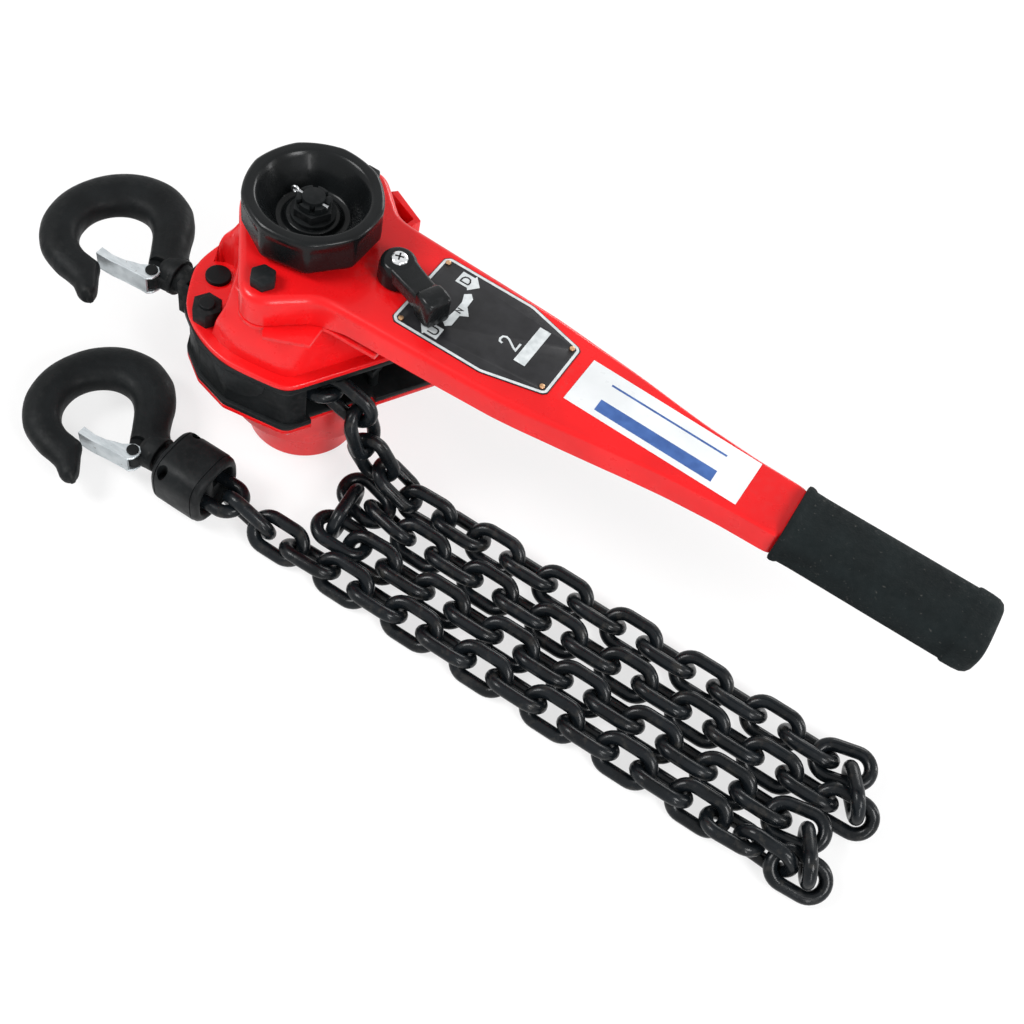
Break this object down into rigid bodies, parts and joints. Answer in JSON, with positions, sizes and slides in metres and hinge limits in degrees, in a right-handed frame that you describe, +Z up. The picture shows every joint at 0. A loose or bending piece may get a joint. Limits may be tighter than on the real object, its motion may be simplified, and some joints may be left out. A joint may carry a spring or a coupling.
{
  "type": "come along winch",
  "caption": "Red and black hand lever chain hoist lying on its gear cup, with folded black load chain, two latched swivel hooks, a handwheel and a rubber grip lever",
  "frame": {"origin": "on the main shaft axis, at the ground plane under the gear cup", "axes": "+X along the lever from the shaft to the grip, +Y away from the folded chain, +Z up the main shaft from the gear cup to the handwheel"},
  "size_m": [0.5879, 0.2001, 0.1922],
  "materials": {
    "red_enamel": "glossy red enamel",
    "black_enamel": "satin black paint on forged and pressed steel",
    "chain_black": "black phosphated hardened chain steel",
    "bright_steel": "machined and zinc plated steel",
    "zinc_plate": "pressed sheet, zinc plated",
    "bronze": "plain bronze and copper",
    "brake_lining": "pressed brake lining",
    "plate_black": "printed black plate with a light border",
    "label_white": "plain adhesive label",
    "grip_rubber": "moulded black rubber"
  },
  "bodies": {
    "frame": {"gear_cover": "red_enamel", "brake_cover": "red_enamel", "side_plate_gear": "black_enamel", "side_plate_brake": "black_enamel", "frame_wall": "black_enamel", "top_pin": "black_enamel", "chain_guide": "black_enamel", "hook_housing_lower": "black_enamel", "hook_housing_upper": "black_enamel", "stay_bolts": "black_enamel", "stay_nuts": "black_enamel", "chain_in_body": "chain_black", "chain_drop": "chain_black", "chain_row_a": "chain_black", "chain_row_b": "chain_black", "chain_row_c": "chain_black", "chain_row_d": "chain_black", "chain_folds": "chain_black", "gear_cover_screws": "bright_steel", "chain_anchor_pin": "bright_steel", "chain_stripper": "bright_steel", "pawl_pins": "bright_steel", "housing_screws": "bright_steel", "chain_end_pin": "bright_steel", "shaft_bearing": "bronze", "sheave_bushes": "bronze"},
    "shaft": {"pinion_shaft": "bright_steel", "friction_hub": "bright_steel", "friction_discs": "brake_lining", "ratchet_disc": "bright_steel", "change_gear": "bright_steel", "handwheel": "black_enamel", "wheel_washer": "black_enamel", "castle_nut": "black_enamel", "split_pin": "bronze"},
    "gear_far": {"disc_gear_far": "bright_steel"},
    "gear_near": {"disc_gear_near": "bright_steel"},
    "sheave": {"load_gear": "bright_steel", "load_sheave": "bright_steel"},
    "lever": {"lever": "red_enamel", "lever_cover": "red_enamel", "lever_bolts": "black_enamel", "name_plate": "plate_black", "name_plate_rivets": "bronze", "label_sticker": "label_white", "grip": "grip_rubber", "detent_plunger": "bright_steel", "detent_spring": "bright_steel"},
    "knob": {"change_knob": "black_enamel", "knob_screw": "bright_steel", "change_pawl": "bright_steel"},
    "top_yoke": {"top_yoke": "black_enamel"},
    "top_hook": {"top_hook": "black_enamel", "top_hook_nut": "bright_steel"},
    "top_latch": {"top_latch": "zinc_plate"},
    "bottom_hook": {"bottom_hook": "black_enamel", "bottom_hook_nut": "bright_steel"},
    "bottom_latch": {"bottom_latch": "zinc_plate"},
    "pawl_far": {"brake_pawl_far": "bright_steel"},
    "pawl_side": {"brake_pawl_side": "bright_steel"}
  },
  "joints": [
    {"name": "handwheel_spin", "type": "hinge", "parent": "frame", "child": "shaft", "pos_m": [0, 0, 0.18], "axis": [0, 0, 1], "continuous": true},
    {"name": "gear_far_turn", "type": "hinge", "parent": "frame", "child": "gear_far", "pos_m": [0, 0.025, 0.045], "axis": [0, 0, 1], "continuous": true},
    {"name": "gear_near_turn", "type": "hinge", "parent": "frame", "child": "gear_near", "pos_m": [0, -0.025, 0.045], "axis": [0, 0, 1], "continuous": true},
    {"name": "sheave_turn", "type": "hinge", "parent": "frame", "child": "sheave", "pos_m": [0, 0, 0.085], "axis": [0, 0, 1], "continuous": true},
    {"name": "lever_swing", "type": "hinge", "parent": "frame", "child": "lever", "pos_m": [0, 0, 0.157], "axis": [0, 0, 1], "continuous": true},
    {"name": "knob_turn", "type": "hinge", "parent": "lever", "child": "knob", "pos_m": [0.0535, 0, 0.172], "axis": [0, 0, 1], "range_deg": [0, 46]},
    {"name": "top_yoke_swing", "type": "hinge", "parent": "frame", "child": "top_yoke", "pos_m": [-0.0492, -0.0174, 0.085], "axis": [0, 0, 1], "range_deg": [-35, 35]},
    {"name": "top_hook_swivel", "type": "hinge", "parent": "top_yoke", "child": "top_hook", "pos_m": [-0.078, -0.0174, 0.085], "axis": [1, 0, 0], "continuous": true},
    {"name": "top_latch_open", "type": "hinge", "parent": "top_hook", "child": "top_latch", "pos_m": [-0.0892, -0.0273, 0.085], "axis": [0, 0, 1], "range_deg": [-36, 0], "stiffness_Nm_per_rad": 0.05},
    {"name": "bottom_hook_swivel", "type": "hinge", "parent": "frame", "child": "bottom_hook", "pos_m": [-0.041, -0.088, 0.02], "axis": [1, 0, 0], "continuous": true},
    {"name": "bottom_latch_open", "type": "hinge", "parent": "bottom_hook", "child": "bottom_latch", "pos_m": [-0.0502, -0.0979, 0.02], "axis": [0, 0, 1], "range_deg": [-36, 0], "stiffness_Nm_per_rad": 0.05},
    {"name": "brake_pawl_far_lift", "type": "hinge", "parent": "frame", "child": "pawl_far", "pos_m": [0.008, 0.0495, 0.114], "axis": [0, 0, 1], "range_deg": [-12, 0], "stiffness_Nm_per_rad": 0.01},
    {"name": "brake_pawl_side_lift", "type": "hinge", "parent": "frame", "child": "pawl_side", "pos_m": [0.04475, 0.02262, 0.114], "axis": [0, 0, 1], "range_deg": [-12, 0], "stiffness_Nm_per_rad": 0.01}
  ],
  "couplings": [
    {"joint": "gear_far_turn", "follows": "handwheel_spin", "ratio": -0.42857},
    {"joint": "gear_near_turn", "follows": "handwheel_spin", "ratio": -0.42857},
    {"joint": "sheave_turn", "follows": "handwheel_spin", "ratio": 0.14286}
  ]
}
